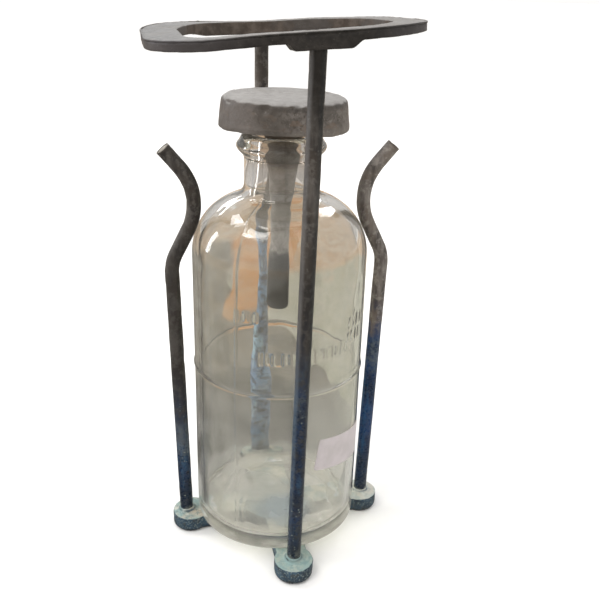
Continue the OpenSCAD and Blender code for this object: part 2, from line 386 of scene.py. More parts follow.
def painted_rod(name, seed, paint_top, bare_top, worn_z, bare_gain, blue_gain, worn_gain=1.0,
                dark_top=1.0, low_dark=0.45, wear=1.0, painted_side_light=0.0, cut=0):
    """Bare brown-grey metal above, and worn dark blue paint below.

    The paint ends between the heights paint_top and bare_top, and is rubbed thin round worn_z, all
    in millimetres. The gains lighten the metal, the paint and the rubbed patch. dark_top is what
    is left of the tone under the yoke, low_dark darkens the metal just above the paint, and wear
    is the strength of the chips. painted_side_light is the strength of a painted highlight down
    the left side and of painted shade down the right side. cut is the side that the cut end of a
    prong faces, or 0 for a rod without one.
    """
    s = Shader(name)
    z, across = s.z, s.facing_x
    broad = s.noise(9, 3, seed=seed)
    streak = s.noise(3.2, 4, 0.6, stretch=(1, 1, 0.22), seed=seed + 1)
    blotch = s.noise(2.2, 4, 0.65, seed=seed + 6)
    fine = s.noise(0.8, 3, 0.65, seed=seed + 2)
    tone = lambda *rgb: tuple(c * bare_gain for c in rgb)
    paint = lambda *rgb: tuple(c * gain for c, gain in zip(rgb, blue_gain))

    # bare metal: streaks, brown patches, pale blotches and scratches, darker at both ends
    bare = s.mix(s.ramp(streak, 0.36, 0.68), tone(0.026, 0.022, 0.02), tone(0.092, 0.082, 0.073))
    bare = s.over(bare, tone(0.05, 0.04, 0.032), broad, 0.46, 0.6, 0, 0.65)
    bare = s.over(bare, tone(0.11, 0.1, 0.09), blotch, 0.5, 0.62, 0, 0.55)
    bare = s.over(bare, (0.19, 0.175, 0.155), fine, 0.62, 0.74, 0, 0.55)
    bare = s.over(bare, (0.006, 0.005, 0.004), z, 0.142, 0.17, 0, 1 - dark_top)
    bare = s.over(bare, (0.016, 0.015, 0.014), z, 0.108, 0.126, low_dark, 0)

    # paint: two blues, brighter streaks, bare blotches, a dark foot and a rubbed patch
    blue = s.mix(s.ramp(broad, 0.38, 0.62), paint(0.008, 0.016, 0.034), paint(0.012, 0.034, 0.078))
    blue = s.over(blue, paint(0.03, 0.07, 0.112), streak, 0.5, 0.66, 0, 0.7)
    blue = s.over(blue, (0.014, 0.017, 0.022), blotch, 0.5, 0.6, 0, 0.7 * wear)
    blue = s.over(blue, (0.005, 0.011, 0.021), z, 0.008, 0.032, 0.75, 0)
    away = s.math("ABSOLUTE", s.add(z, -worn_z * 0.001))
    worn = s.times(s.ramp(s.scaled(broad, 0.012, away), 0.009, 0.015, 1, 0),
                  s.ramp(s.add(streak, blotch), 0.85, 1.1, 0.1 * worn_gain, 0.6 * worn_gain))
    blue = s.mix(worn, blue, (0.085, 0.108, 0.13))

    # the two together, with chips and specks in the paint
    ragged = s.scaled(streak, 0.026, s.scaled(broad, 0.034, z))
    painted = s.ramp(ragged, (paint_top + 30) * 0.001, (bare_top + 30) * 0.001, 1, 0)
    skin = s.mix(painted, bare, blue)
    chipped = s.times(s.ramp(s.noise(2.8, 4, 0.7, seed=seed + 3), 0.54, 0.6), painted)
    skin = s.mix(s.times(chipped, 0.6 * wear), skin, (0.038, 0.037, 0.036))
    speck = s.times(s.ramp(s.cells(1.2, seed=seed), 0.3, 0.14),
                   s.ramp(s.noise(5, 3, seed=seed + 4), 0.5, 0.6))
    speck = s.times(speck, s.ramp(z, 0.02, (bare_top + 8) * 0.001, 0.9 * wear, 0.0))
    skin = s.mix(speck, skin, (0.22, 0.25, 0.22))

    # painted highlight on the left, painted shade on the right, dirt at the foot, the lighter cut end
    # of a prong
    # the pale tone of the painted highlight down the left side
    pale = s.mix(painted, (0.2, 0.195, 0.195), (0.105, 0.15, 0.2))
    pale = s.over(pale, skin, z, 0.012, 0.05, 0.8, 0)
    painted_left_highlight = s.ramp(s.scaled(streak, 0.3, across), -0.35, -0.72, 0, 0.32 * painted_side_light)
    skin = s.mix(painted_left_highlight, skin, pale)
    # painted shade down the right side of the rod
    skin = s.over(skin, (0.01, 0.011, 0.013), across, 0.0, 0.7, 0, 0.6 * painted_side_light)
    dirt = s.ramp(s.noise(2.4, 4, 0.65, seed=seed + 5), 0.46, 0.6)
    foot = s.times(s.ramp(z, 0.0065, 0.012, 1, 0), dirt)
    skin = s.mix(s.times(foot, 0.45), skin, (0.24, 0.26, 0.22))
    toward_end = s.times(across, copysign(sin(PRONG_END), cut))
    toward_end = s.scaled(s.up, cos(PRONG_END), toward_end)
    end = s.times(s.ramp(toward_end, 0.8, 0.92), s.ramp(z, 0.14, 0.141, 0, 0.75 if cut else 0))
    skin = s.mix(end, skin, s.mix(blotch, (0.28, 0.25, 0.21), (0.52, 0.48, 0.42)))

    normal = s.bump(s.scaled(fine, 0.5, blotch), 0.5, 0.5)
    rough = s.scaled(painted, -0.14, s.ramp(fine, 0.35, 0.7, 0.38, 0.66))
    metal = s.ramp(painted, 0, 1, 0.2, 0.0)
    return s.set(color=skin, rough=rough, normal=normal, metal=metal, spec=0.35)


def cast_base_metal():
    """Dark blue paint on the sides, and pale corrosion on the lobes' tops."""
    s = Shader("base_metal")
    x, y, z = s.x, s.y, s.z
    broad = s.noise(6, 3, seed=3)
    mid = s.noise(2.0, 4, 0.65, seed=4)
    fine = s.noise(0.6, 3, 0.6, seed=5)
    blue = s.mix(s.ramp(broad, 0.35, 0.65), (0.012, 0.026, 0.042), (0.03, 0.07, 0.11))
    blue = s.over(blue, (0.05, 0.055, 0.052), mid, 0.52, 0.62, 0, 0.8)
    blue = s.over(blue, (0.2, 0.25, 0.24), fine, 0.52, 0.66, 0, 0.8)
    blue = s.over(blue, (0.008, 0.009, 0.011), z, 0.0002, 0.002, 0.85, 0)
    cream = s.mix(s.ramp(broad, 0.38, 0.62), (0.26, 0.36, 0.34), (0.44, 0.4, 0.32))
    cream = s.over(cream, (0.17, 0.235, 0.235), mid, 0.46, 0.62, 0, 0.75)
    cream = s.over(cream, (0.11, 0.115, 0.1), fine, 0.54, 0.68, 0, 0.6)
    cream = s.over(cream, (0.55, 0.56, 0.5), s.noise(3.0, 3, seed=6), 0.56, 0.66, 0, 0.6)
    cream = s.over(cream, (0.22, 0.335, 0.325), y, -0.02, -0.029, 0, 0.6)
    cream = s.over(cream, (0.62, 0.64, 0.62), x, 0.024, 0.03, 0, 0.45)
    from_middle = s.square_distance(x, y)
    # painted light: under the bottle the top is pale, for the light that comes through the glass, and
    # a darker blue at the middle, a painted reflection of the blue front rod
    pale = s.mix(s.ramp(broad, 0.42, 0.56), (0.4, 0.46, 0.52), (0.7, 0.71, 0.69))
    pale = s.over(pale, (0.22, 0.29, 0.38), from_middle, 0.00008, 0.00022, 0.9, 0)
    cream = s.over(cream, pale, from_middle, 0.00055, 0.0008, 0.8, 0)
    color = s.over(blue, cream, s.scaled(mid, 0.5, s.up), 0.72, 1.05)
    normal = s.bump(s.scaled(fine, 0.6, mid), 0.55, 0.5)
    return s.set(color=color, rough=s.ramp(mid, 0.3, 0.7, 0.5, 0.85), normal=normal, spec=0.4)


def yoke_metal():
    """Grey top, partly wear and partly painted light from above, dark brown-grey walls, and small
    casting pits.
    """
    s = Shader("yoke_metal")
    x, y = s.x, s.y
    broad = s.noise(14, 3, seed=8)
    mid = s.noise(3.0, 4, 0.6, seed=9)
    fine = s.noise(0.7, 3, 0.6, seed=10)
    wall = s.mix(s.ramp(mid, 0.35, 0.68), (0.013, 0.011, 0.0095), (0.034, 0.029, 0.025))
    to_ends = s.ramp(s.scaled(broad, 0.012, s.math("ABSOLUTE", x)), 0.018, 0.04, 0, 0.75)
    wall = s.mix(to_ends, wall, (0.062, 0.055, 0.057))
    wall = s.over(wall, (0.13, 0.115, 0.1), fine, 0.62, 0.74, 0, 0.4)
    outward = s.add(s.times(s.facing_x, x), s.times(s.facing_y, y))
    rust = s.mix(s.ramp(mid, 0.35, 0.68), (0.062, 0.046, 0.036), (0.125, 0.1, 0.082))
    rust = s.over(rust, (0.085, 0.078, 0.074), broad, 0.48, 0.62, 0, 0.7)
    wall = s.over(wall, rust, outward, 0.004, -0.004)
    top = s.mix(s.ramp(mid, 0.3, 0.7), (0.175, 0.166, 0.158), (0.27, 0.258, 0.248))
    top = s.over(top, (0.15, 0.151, 0.153), x, -0.04, -0.012, 0.75, 0)
    top = s.over(top, (0.19, 0.175, 0.155), broad, 0.5, 0.68, 0, 0.45)
    pit = s.times(s.ramp(s.cells(1.6, seed=2), 0.24, 0.1), s.ramp(mid, 0.48, 0.56))
    top = s.mix(s.times(pit, 0.6), top, (0.07, 0.06, 0.05))
    # upward faces take the grey top: partly wear, partly painted light from above
    color = s.mix(s.ramp(s.scaled(fine, 0.15, s.up), 0.62, 0.95), wall, top)
    height = s.math("SUBTRACT", s.scaled(fine, 0.4, mid), pit)
    return s.set(color=color, rough=s.ramp(mid, 0.3, 0.7, 0.48, 0.7), normal=s.bump(height, 0.4, 0.4),
                 metal=0.25, spec=0.4)


def lead_metal():
    """Oxidised lead: pale warm grey on top, mottled brown on the sides, dark on the bulb.

    The top is paler partly through painted light from above. The head's side carries painted
    shade and light: a dark band under the rim, lighter flanks, a dark band down the middle and a
    darker left part.
    """
    s = Shader("lead")
    x, z = s.x, s.z
    broad = s.noise(10, 3, seed=12)
    mid = s.noise(2.6, 4, 0.6, seed=13)
    fine = s.noise(0.7, 3, 0.6, seed=14)
    side = s.mix(s.ramp(mid, 0.34, 0.68), (0.09, 0.078, 0.068), (0.215, 0.19, 0.17))
    side = s.over(side, (0.095, 0.08, 0.068), broad, 0.42, 0.62, 0, 0.55)
    side = s.over(side, (0.3, 0.275, 0.245), fine, 0.58, 0.7, 0, 0.6)
    side = s.over(side, (0.06, 0.048, 0.038), s.noise(1.3, 4, 0.7, seed=15), 0.52, 0.64, 0, 0.7)
    brown = s.ramp(s.noise(5, 4, 0.65, stretch=(1, 1, 2.2), seed=17), 0.52, 0.62, 0, 0.6)
    side = s.mix(brown, side, (0.165, 0.12, 0.09))
    # painted shade and light on the head's side: a dark band under the rim, lighter flanks, a dark
    # band down the middle and a darker left part
    side = s.over(side, (0.055, 0.048, 0.042), z, 0.156, 0.1574, 0, 0.55)
    side = s.over(side, (0.22, 0.195, 0.17), z, 0.15, 0.153, 0.4, 0)
    painted_light_flanks = s.ramp(s.math("ABSOLUTE", s.add(x, -0.004)), 0.011, 0.021, 0, 0.5)
    side = s.mix(painted_light_flanks, side, (0.19, 0.165, 0.152))
    painted_shade_band = s.ramp(s.math("ABSOLUTE", s.add(x, 0.007)), 0.002, 0.007, 0.55, 0)
    side = s.mix(painted_shade_band, side, (0.062, 0.052, 0.043))
    side = s.over(side, (0.1, 0.088, 0.08), x, -0.009, -0.018, 0, 0.55)
    top = s.mix(s.ramp(mid, 0.3, 0.7), (0.275, 0.262, 0.25), (0.375, 0.362, 0.35))
    top = s.over(top, (0.28, 0.262, 0.24), broad, 0.5, 0.66, 0, 0.4)
    top = s.over(top, (0.16, 0.14, 0.12), s.noise(1.3, 4, 0.7, seed=16), 0.56, 0.68, 0, 0.45)
    # the top is paler than the side: partly oxide, partly painted light from above
    color = s.mix(s.ramp(s.scaled(mid, 0.3, s.up), 0.62, 1.02), side, top)
    stem = s.mix(s.ramp(mid, 0.35, 0.65), (0.32, 0.305, 0.295), (0.48, 0.465, 0.455))
    bulb = s.ramp(s.scaled(mid, 0.006, z), 0.1085, 0.1135, 1, 0)
    stem = s.mix(bulb, stem, (0.036, 0.034, 0.032))
    stem = s.over(stem, (0.085, 0.07, 0.058), z, 0.134, 0.142)
    color = s.over(color, stem, z, 0.14, 0.1488, 1, 0)
    height = s.scaled(fine, 0.45, mid)
    return s.set(color=color, rough=s.ramp(mid, 0.3, 0.7, 0.5, 0.75), metal=0.2, spec=0.4,
                 normal=s.bump(height, 0.45, 0.5))


def clear_glass():
    """Old clear glass: faint tints, gentle ripples, a dusty film, and sediment on the floor.

    The film also carries painted light: a blue painted reflection of the front rod on the floor,
    and a pale band round the foot that stands in for the light coming through it.
    """
    s = Shader("clear_glass")
    ripple = s.noise(16, 2, 0.5, stretch=(1, 1, 0.45), seed=20)
    haze = s.noise(7, 4, 0.6, seed=21)
    fine = s.noise(0.9, 3, 0.6, seed=22)
    x, y, z = s.x, s.y, s.z
    from_axis = s.square_distance(x, y)

    tint = s.mix(s.ramp(z, 0.015, 0.11), (0.87, 0.868, 0.838), (0.885, 0.862, 0.82))
    tint = s.over(tint, (0.815, 0.812, 0.775), haze, 0.4, 0.68, 0, 0.4)
    tint = s.over(tint, (0.84, 0.81, 0.78), z, 0.126, 0.134)
    lip = s.times(s.ramp(z, 0.1355, 0.14), s.ramp(haze, 0.4, 0.6, 0.3, 0.9))
    tint = s.mix(lip, tint, (0.7, 0.61, 0.52))
    s.set(color=tint, rough=s.ramp(haze, 0.35, 0.7, 0.0, 0.02), ior=1.5, glass=1.0,
          normal=s.bump(ripple, 0.28, 1.2), spec=0.5)

    powder = s.mix(haze, (0.5, 0.485, 0.44), (0.64, 0.63, 0.59))
    # a bluish patch in the dust on the floor in front of the middle: a painted reflection of the blue
    # front rod
    painted_rod_reflection = s.ramp(s.square_distance(x, y, 0.001, -0.01), 0.00002, 0.00014, 0.8, 0)
    painted_rod_reflection = s.times(painted_rod_reflection, s.ramp(z, 0.0125, 0.014, 1, 0))
    dust_and_painted_light = s.new("BsdfDiffuse")
    s.feed(dust_and_painted_light.inputs["Color"], s.mix(painted_rod_reflection, powder, (0.3, 0.37, 0.46)))

    on_floor = s.times(s.ramp(z, 0.008, 0.0088), s.ramp(z, 0.0112, 0.0125, 1, 0))
    on_floor = s.times(s.ramp(from_axis, 0.00066, 0.00072, 1, 0), on_floor)
    patches = s.ramp(s.noise(19, 2, 0.5, seed=24), 0.42, 0.56, 0.03, 0.34)
    dregs_and_painted_light = s.times(on_floor, s.math("MAXIMUM", patches, s.times(painted_rod_reflection, 0.42)))
    # painted light: a pale film round the foot stands in for the light that comes through the foot
    ring = s.ramp(from_axis, 0.000289, 0.000529, 0, 0.6)
    ring = s.times(ring, s.ramp(z, 0.0065, 0.0072, 1, 0))
    ring = s.times(ring, s.ramp(s.noise(11, 3, 0.6, seed=25), 0.38, 0.6, 0.55, 1.0))
    dregs_and_painted_light = s.add(dregs_and_painted_light, ring)
    thin = s.add(s.ramp(haze, 0.35, 0.7, 0.04, 0.12), s.ramp(fine, 0.66, 0.78, 0, 0.04))
    film = s.blend(s.add(dregs_and_painted_light, thin), s.bsdf.outputs[0], dust_and_painted_light.outputs[0])

    clear = s.new("BsdfTransparent")
    clear.inputs[0].default_value = (0.86, 0.86, 0.82, 1)
    ray = s.new("LightPath")
    s.show(s.blend(ray.outputs["Is Shadow Ray"], film, clear.outputs[0]))
    return s.material


def label_paper():
    """Matt white paper, a little pink and soiled, with fine fibres."""
    s = Shader("label_paper")
    fibre = s.noise(0.5, 4, 0.7, stretch=(1, 1, 3), seed=30)
    soil = s.noise(6, 3, seed=31)
    color = s.mix(s.ramp(soil, 0.35, 0.7), (0.56, 0.51, 0.515), (0.49, 0.45, 0.445))
    color = s.over(color, (0.52, 0.48, 0.46), fibre, 0.6, 0.75, 0, 0.35)
    return s.set(color=color, rough=0.75, normal=s.bump(fibre, 0.2, 0.08), spec=0.3)


def floor_paper():
    """A plain pale studio floor with a very faint grain."""
    s = Shader("floor_paper")
    grain = s.noise(3, 3, seed=40)
    color = s.mix(s.ramp(grain, 0.3, 0.7), (0.872, 0.868, 0.862), (0.884, 0.881, 0.876))
    return s.set(color=color, rough=0.9, normal=s.bump(grain, 0.05, 0.1), spec=0.1)


# -------------------- rods and prongs

def swept_rod(name, path, r, seed, around=36, bevel=0.35):
    """A rod along a path in millimetres, with a bevelled cut at each end and a worn surface."""
    p = np.array(path, float)
    step = np.diff(p, axis=0)
    tangent = np.concatenate([step[:1], 0.5 * (step[1:] + step[:-1]), step[-1:]])
    tangent /= np.linalg.norm(tangent, axis=1)[:, None]
    side = np.tile([0.0, 1.0, 0.0], (len(p), 1))
    side -= tangent * (side * tangent).sum(1)[:, None]
    side /= np.linalg.norm(side, axis=1)[:, None]
    other = np.cross(tangent, side)
    a = ring_angles(around)
    ring = np.cos(a)[None, :, None] * side[:, None] + np.sin(a)[None, :, None] * other[:, None]

    def end_rings(i, sign):
        radii = [(r - bevel * (1 - sin(t)), bevel * (1 - cos(t))) for t in (1.05, 0.5, 0.0)]
        radii += [((r - bevel) * 0.66, bevel), ((r - bevel) * 0.33, bevel), (ON_AXIS, bevel)]
        return [p[i] + sign * tangent[i] * (h - bevel) + ring[i] * q for q, h in radii]

    rows = end_rings(0, -1)[::-1] + [p[i] + ring[i] * r for i in range(len(p))] + end_rings(-1, 1)
    obj = raw_mesh(name, np.concatenate(rows), capped_tube(len(rows), around))
    surface = points_of(obj)
    height = 0.05 * fbm(surface, 7, seed) - 0.13 * pits(surface, 1.6, seed + 5, 0.45)
    height -= 0.04 * pits(surface * [1, 1, 0.3], 0.9, seed + 9, 0.3)
    displace(obj, height - 0.01)
    return obj


def straight_path(y, lean, top):
    """Points up a straight rod from the base to just under the yoke's top face."""
    z = np.arange(ROD_FOOT_Z, top, ROD_STEP)
    return np.stack([(z - ROD_FOOT_Z) * tan(lean), np.full_like(z, y), z], 1)


def prong_path():
    """The right-hand prong's centre line: up, in over the shoulder, and out again."""
    pos, angle, points = np.array([ROD_CIRCLE, ROD_FOOT_Z]), PRONG_LEAN, []
    for run, radius, turn in PRONG_BENDS:
        way = np.array([sin(angle), cos(angle)])
        n = int(run / ROD_STEP)
        points += [pos + way * run * k / n for k in range(n)]
        pos = pos + way * run
        if turn:
            side = copysign(1, turn)
            centre = pos + side * radius * np.array([cos(angle), -sin(angle)])
            n = int(abs(radians(turn)) * radius / ROD_STEP)
            for k in range(n):
                t = angle + radians(turn) * k / n
                points.append(centre - side * radius * np.array([cos(t), -sin(t)]))
            angle += radians(turn)
            pos = centre - side * radius * np.array([cos(angle), -sin(angle)])
    points.append(pos)
    return np.array([(x, 0.0, z) for x, z in points])


def make_rods():
    under_yoke = lambda x: YOKE_TOP - 1.3 + (x + YOKE_SHIFT) * tan(YOKE_TILT)
    path = straight_path(-ROD_CIRCLE, FRONT_LEAN, under_yoke(2.8))
    front = swept_rod("front_rod_metal", path, ROD_R, 101)
    skin = painted_rod("front_rod_metal", 1, paint_top=66, bare_top=100, worn_z=68, bare_gain=1.08,
                       blue_gain=(0.50, 0.66, 0.78), worn_gain=0.5, dark_top=0.12, painted_side_light=1.0)
    finish_piece(front, skin, "front_rod", "cage")
    path = straight_path(ROD_CIRCLE, BACK_LEAN, under_yoke(-0.9) - 0.5)
    back = swept_rod("back_rod_metal", path, ROD_R, 202)
    # the back rod's large gains paint it pale grey-blue: painted reflections of the glass in front of
    # it
    skin = painted_rod("back_rod_metal", 2, paint_top=92, bare_top=118, worn_z=75, bare_gain=2.8,
                       blue_gain=(17.0, 11.5, 8.8), dark_top=0.35, low_dark=0.0)
    finish_piece(back, skin, "back_rod", "cage")


def make_prong(node, sign, seed, skin):
    prong = swept_rod(node + "_metal", prong_path() * [sign, 1, 1], ROD_R, seed)
    finish_piece(prong, skin, node)
    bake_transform(prong)


def make_prongs():
    skin = painted_rod("left_prong_metal", 2, paint_top=30, bare_top=68, worn_z=38, bare_gain=0.96,
                       blue_gain=(0.85, 1.05, 1.2), worn_gain=1.3, low_dark=0.35, wear=0.8, cut=-1)
    make_prong("left_prong", -1, 303, skin)
    skin = painted_rod("right_prong_metal", 5, paint_top=74, bare_top=90, worn_z=67, bare_gain=2.7,
                       blue_gain=(0.55, 1.0, 1.40), worn_gain=1.3, low_dark=0.0, wear=0.3, cut=1)
    make_prong("right_prong", 1, 404, skin)


# -------------------- base spider

def revolved(profile, around, centre=(0, 0)):
    """Points and faces of a solid of revolution; the profile runs from axis to axis."""
    a = ring_angles(around)
    rows = [np.stack([centre[0] + r * np.cos(a), centre[1] + r * np.sin(a), np.full(around, z)], 1)
            for r, z in profile]
    return np.concatenate(rows), capped_tube(len(rows), around)


def extruded(outline, start, end):
    """Points and faces of an outline swept from start to end; the outline is (side, z)."""
    start, end = np.array(start, float), np.array(end, float)
    way = (end - start) / np.linalg.norm(end - start)
    side = np.array([-way[1], way[0]])
    rows = [np.array([[*(at + side * u), z] for u, z in outline]) for at in (start, end)]
    return np.concatenate(rows), capped_tube(2, len(outline))


def fused(name, parts, voxel):
    """One clean skin over several overlapping solids, by voxel remesh."""
    points, faces, count = [], [], 0
    for p, f in parts:
        points.append(p)
        faces += [[count + k for k in face] for face in f]
        count += len(p)
    rough = raw_mesh(name + "_rough", np.concatenate(points), faces)
    remesh = rough.modifiers.new("remesh", "REMESH")
    remesh.mode = "VOXEL"
    remesh.voxel_size = voxel * 0.001
    bpy.context.view_layer.update()
    result = rough.evaluated_get(bpy.context.evaluated_depsgraph_get())
    mesh = bpy.data.meshes.new_from_object(result)
    bpy.data.objects.remove(rough)
    mesh.name = name
    return smooth_object(name, mesh)


def relax(obj, rounds):
    """Evens out the steps that a voxel remesh leaves."""
    p = points_of(obj)
    edges = np.zeros(len(obj.data.edges) * 2, int)
    obj.data.edges.foreach_get("vertices", edges)
    a, b = edges.reshape(-1, 2).T
    ends, others = np.concatenate([a, b]), np.concatenate([b, a])
    count = np.bincount(ends, minlength=len(p))[:, None]
    for _ in range(rounds):
        total = np.zeros_like(p)
        for k in range(3):
            total[:, k] = np.bincount(ends, p[others, k], len(p))
        p = 0.5 * p + 0.5 * total / count
    set_points(obj, p)


def make_base():
    foot, rim = 1.5, 0.35
    round_foot = lambda r: arc(r - foot, foot, foot, -90, 0, 5)
    lobe_side = arc(LOBE_R - foot, foot, foot, -90, 0, 6)
    lobe_side += arc(LOBE_R - rim, BASE_T - rim, rim, 0, 90, 3)
    section = [(ON_AXIS, 0.0)] + lobe_side + [(ON_AXIS, BASE_T)]
    parts = [revolved(section, 72, lobe) for lobe in LOBES]
    hub = [(ON_AXIS, 0.0)] + round_foot(HUB_R) + [(12.0, BASE_T), (ON_AXIS, BASE_T)]
    parts.append(revolved(hub, 72))
    right = round_foot(ARM_HALF) + [(ARM_HALF, BASE_T)]
    outline = right + [(-u, z) for u, z in right[::-1]]
    for lobe in LOBES:
        parts.append(extruded(outline, (0, 0), lobe))
    for x, y in ((ROD_CIRCLE, 0), (-ROD_CIRCLE, 0), (0, ROD_CIRCLE), (0, -ROD_CIRCLE)):
        collar = [(ON_AXIS, 4.5), (3.9, 4.5), (3.7, 6.05), (3.1, 6.5), (2.7, 7.3), (2.2, 7.5)]
        collar.append((ON_AXIS, 7.5))
        parts.append(revolved(collar, 40, (x, y)))
    obj = fused("base_casting", parts, 0.38)
    relax(obj, 3)
    p = points_of(obj)
    height = 0.12 * fbm(p, 8, 31) + 0.07 * fbm(p, 1.8, 32) - 0.16 * pits(p, 1.3, 33, 0.4)
    displace(obj, height * smooth(0.3, 1.5, p[:, 2]))
    p = points_of(obj)
    p[:, 2] = np.where(p[:, 2] < 0.25, 0.0, p[:, 2])
    set_points(obj, p)
    finish_piece(obj, cast_base_metal(), "base_spider", "cage")


# -------------------- yoke

def ray_to_rounded_rect(angle, length, width, r, offset=0.0):
    """Distance from the origin to a rounded rectangle's edge, along each angle."""
    low, high = np.zeros_like(angle), np.full_like(angle, 80.0)
    for _ in range(40):
        mid = 0.5 * (low + high)
        qx = np.abs(mid * np.cos(angle) - offset) - (length / 2 - r)
        qy = np.abs(mid * np.sin(angle)) - (width / 2 - r)
        past_corner = np.hypot(np.maximum(qx, 0), np.maximum(qy, 0))
        inside = past_corner + np.minimum(np.maximum(qx, qy), 0) < r
        low, high = np.where(inside, mid, low), np.where(inside, high, mid)
    return low


def yoke_corner(across, down, size, steps):
    """The rounding at one corner of the band's section, from its wall to its top or bottom."""
    return [(across, down, (1 - 2 * across) * size * (1 - cos(a)),
             (2 * down - 1) * size * (1 - sin(a))) for a in np.linspace(0, pi / 2, steps)]


def yoke_section():
    """(share of the band's width, share of its depth, inset, drop) round the band's section."""
    rows = [(0, t, 0, 0) for t in (0.85, 0.7, 0.5, 0.3, 0.15)]
    rows += yoke_corner(0, 0, 0.35, 4)
    rows += [(t, 0, 0, 0) for t in np.linspace(0.08, 0.92, 14)]
    rows += yoke_corner(1, 0, 0.55, 5)
    rows += [(1, t, 0, 0) for t in (0.25, 0.4, 0.55, 0.7, 0.85)]
    rows += yoke_corner(1, 1, 0.40, 4)
    rows += [(t, 1, 0, 0) for t in np.linspace(0.92, 0.08, 10)]
    rows += yoke_corner(0, 1, 0.30, 3)
    return rows


def make_yoke():
    """A band round a rounded opening, with a lug in front and behind, twisted, rolled and tilted."""
    around = 640
    a = ring_angles(around)
    way = np.stack([np.cos(a), np.sin(a)], 1)
    left = smooth(0, -0.35, way[:, 0])
    back_left = left * smooth(0, 0.35, way[:, 1])
    front_left = left * smooth(0, -0.35, way[:, 1])
    corner_r = 22 + 4 * back_left - 8 * front_left
    inner = ray_to_rounded_rect(a, OPENING_L, OPENING_W, corner_r, OPENING_X)
    outer = ray_to_rounded_rect(a, YOKE_L, YOKE_W, 23 + 4 * back_left)
    lug_x = np.where(way[:, 1] < 0, 5.17, 1.41)
    on_long_side = smooth(0.35, 0.6, np.abs(way[:, 1]))
    rows = []
    for across, down, inset, drop in yoke_section():
        r = inner + (outer - inner) * across + inset
        x, y = r * way[:, 0], r * way[:, 1]
        lug = smooth(9.6, 7.6, lug_x - x) * smooth(11.3, 7.6, x - lug_x)
        rear = smooth(10, 28, y) * smooth(-26, -19, x) * (1.15 - 0.45 * smooth(-8, 10, x))
        depth = np.maximum(YOKE_T + 1.9 * lug * on_long_side, YOKE_T + rear)
        z = -depth * down + drop
        rows.append(np.stack([x, y, z], 1))
    n = len(rows)
    faces = [list(f) for f in grid_faces(n, around)]
    last = (n - 1) * around
    faces += [[last + k, last + (k + 1) % around, (k + 1) % around, k] for k in range(around)]
    x, y, z = np.concatenate(rows).T
    back, front = smooth(-10, 36, y), smooth(0, -34, y)
    z = z + back * (1.75 * smooth(6, -42, x) - 0.3 * smooth(15, 35, x))
    z = z + front * (0.28 * smooth(12, 36, x) - 0.56 * smooth(-8, -30, x))
    y, z = turned(y, z, -YOKE_ROLL)
    x, z = turned(x, z, YOKE_TILT)
    p = np.stack([x - YOKE_SHIFT, y, z + YOKE_TOP], 1)
    obj = raw_mesh("yoke_casting", p, [f[::-1] for f in faces])
    height = 0.10 * fbm(p, 11, 41) + 0.045 * fbm(p, 2.4, 42) - 0.17 * pits(p, 1.5, 43, 0.5)
    displace(obj, height - 0.05)
    finish_piece(obj, yoke_metal(), "yoke", "cage")


# -------------------- bottle

def bottle_outer():
    """The outside of the glass, as radius and height, and the height where the neck begins."""
    neck_r, blend, lip_r = 12.1, 4.5, 14.7
    turn = radians(SHOULDER_TURN)
    slant_r = BOTTLE_R - (SHOULDER_R + blend) * (1 - cos(turn)) - neck_r
    neck_z = SHOULDER_Z + (SHOULDER_R + blend) * sin(turn) + slant_r / tan(turn)
    pts = [(0.05, BOTTLE_Z + 0.8), (18, BOTTLE_Z + 0.5), (24, BOTTLE_Z)]
    pts += arc(BOTTLE_R - 1.0, BOTTLE_Z + 1.0, 1.0, -90, 0, 8)
    pts += arc(BOTTLE_R - SHOULDER_R, SHOULDER_Z, SHOULDER_R, 0, SHOULDER_TURN, 40)
    pts += arc(neck_r + blend, neck_z, blend, 180 + SHOULDER_TURN, 180, 14)
    pts += [(neck_r, BOTTLE_TOP - 7.3), (neck_r + 0.4, BOTTLE_TOP - 6.2)]
    pts += [(lip_r - 1.1, BOTTLE_TOP - 5.2)] + arc(lip_r - 1.7, BOTTLE_TOP - 3.4, 1.7, -35, 65, 8)
    pts += [(lip_r - 1.3, BOTTLE_TOP - 1.5), (lip_r - 1.35, BOTTLE_TOP - 0.95)]
    pts += arc(lip_r - 2.1, BOTTLE_TOP - 0.75, 0.75, 0, 90, 5)
    return pts, neck_z


def bottle_inner(neck_z):
    """The bore, from the mouth down to the middle of the floor."""
    floor = 9.5
    pts = [(8.6, BOTTLE_TOP), (7.4, BOTTLE_TOP - 0.5), (7.0, BOTTLE_TOP - 1.4), (7.0, BOTTLE_TOP - 4)]
    pts += [(7.6, BOTTLE_TOP - 9), (8.6, BOTTLE_TOP - 14), (9.3, BOTTLE_TOP - 18)]
    pts += arc(16.6, neck_z, 7.3, 180, 180 + SHOULDER_TURN, 14)
    pts += arc(BOTTLE_R - SHOULDER_R, SHOULDER_Z, SHOULDER_R - WALL, SHOULDER_TURN, 0, 30)
    pts += arc(BORE_R - 3, floor + 3, 3, 0, -90, 8)
    pts += [(12, floor + 0.3), (5, floor + 0.6), (0.05, floor + 0.7)]
    return pts


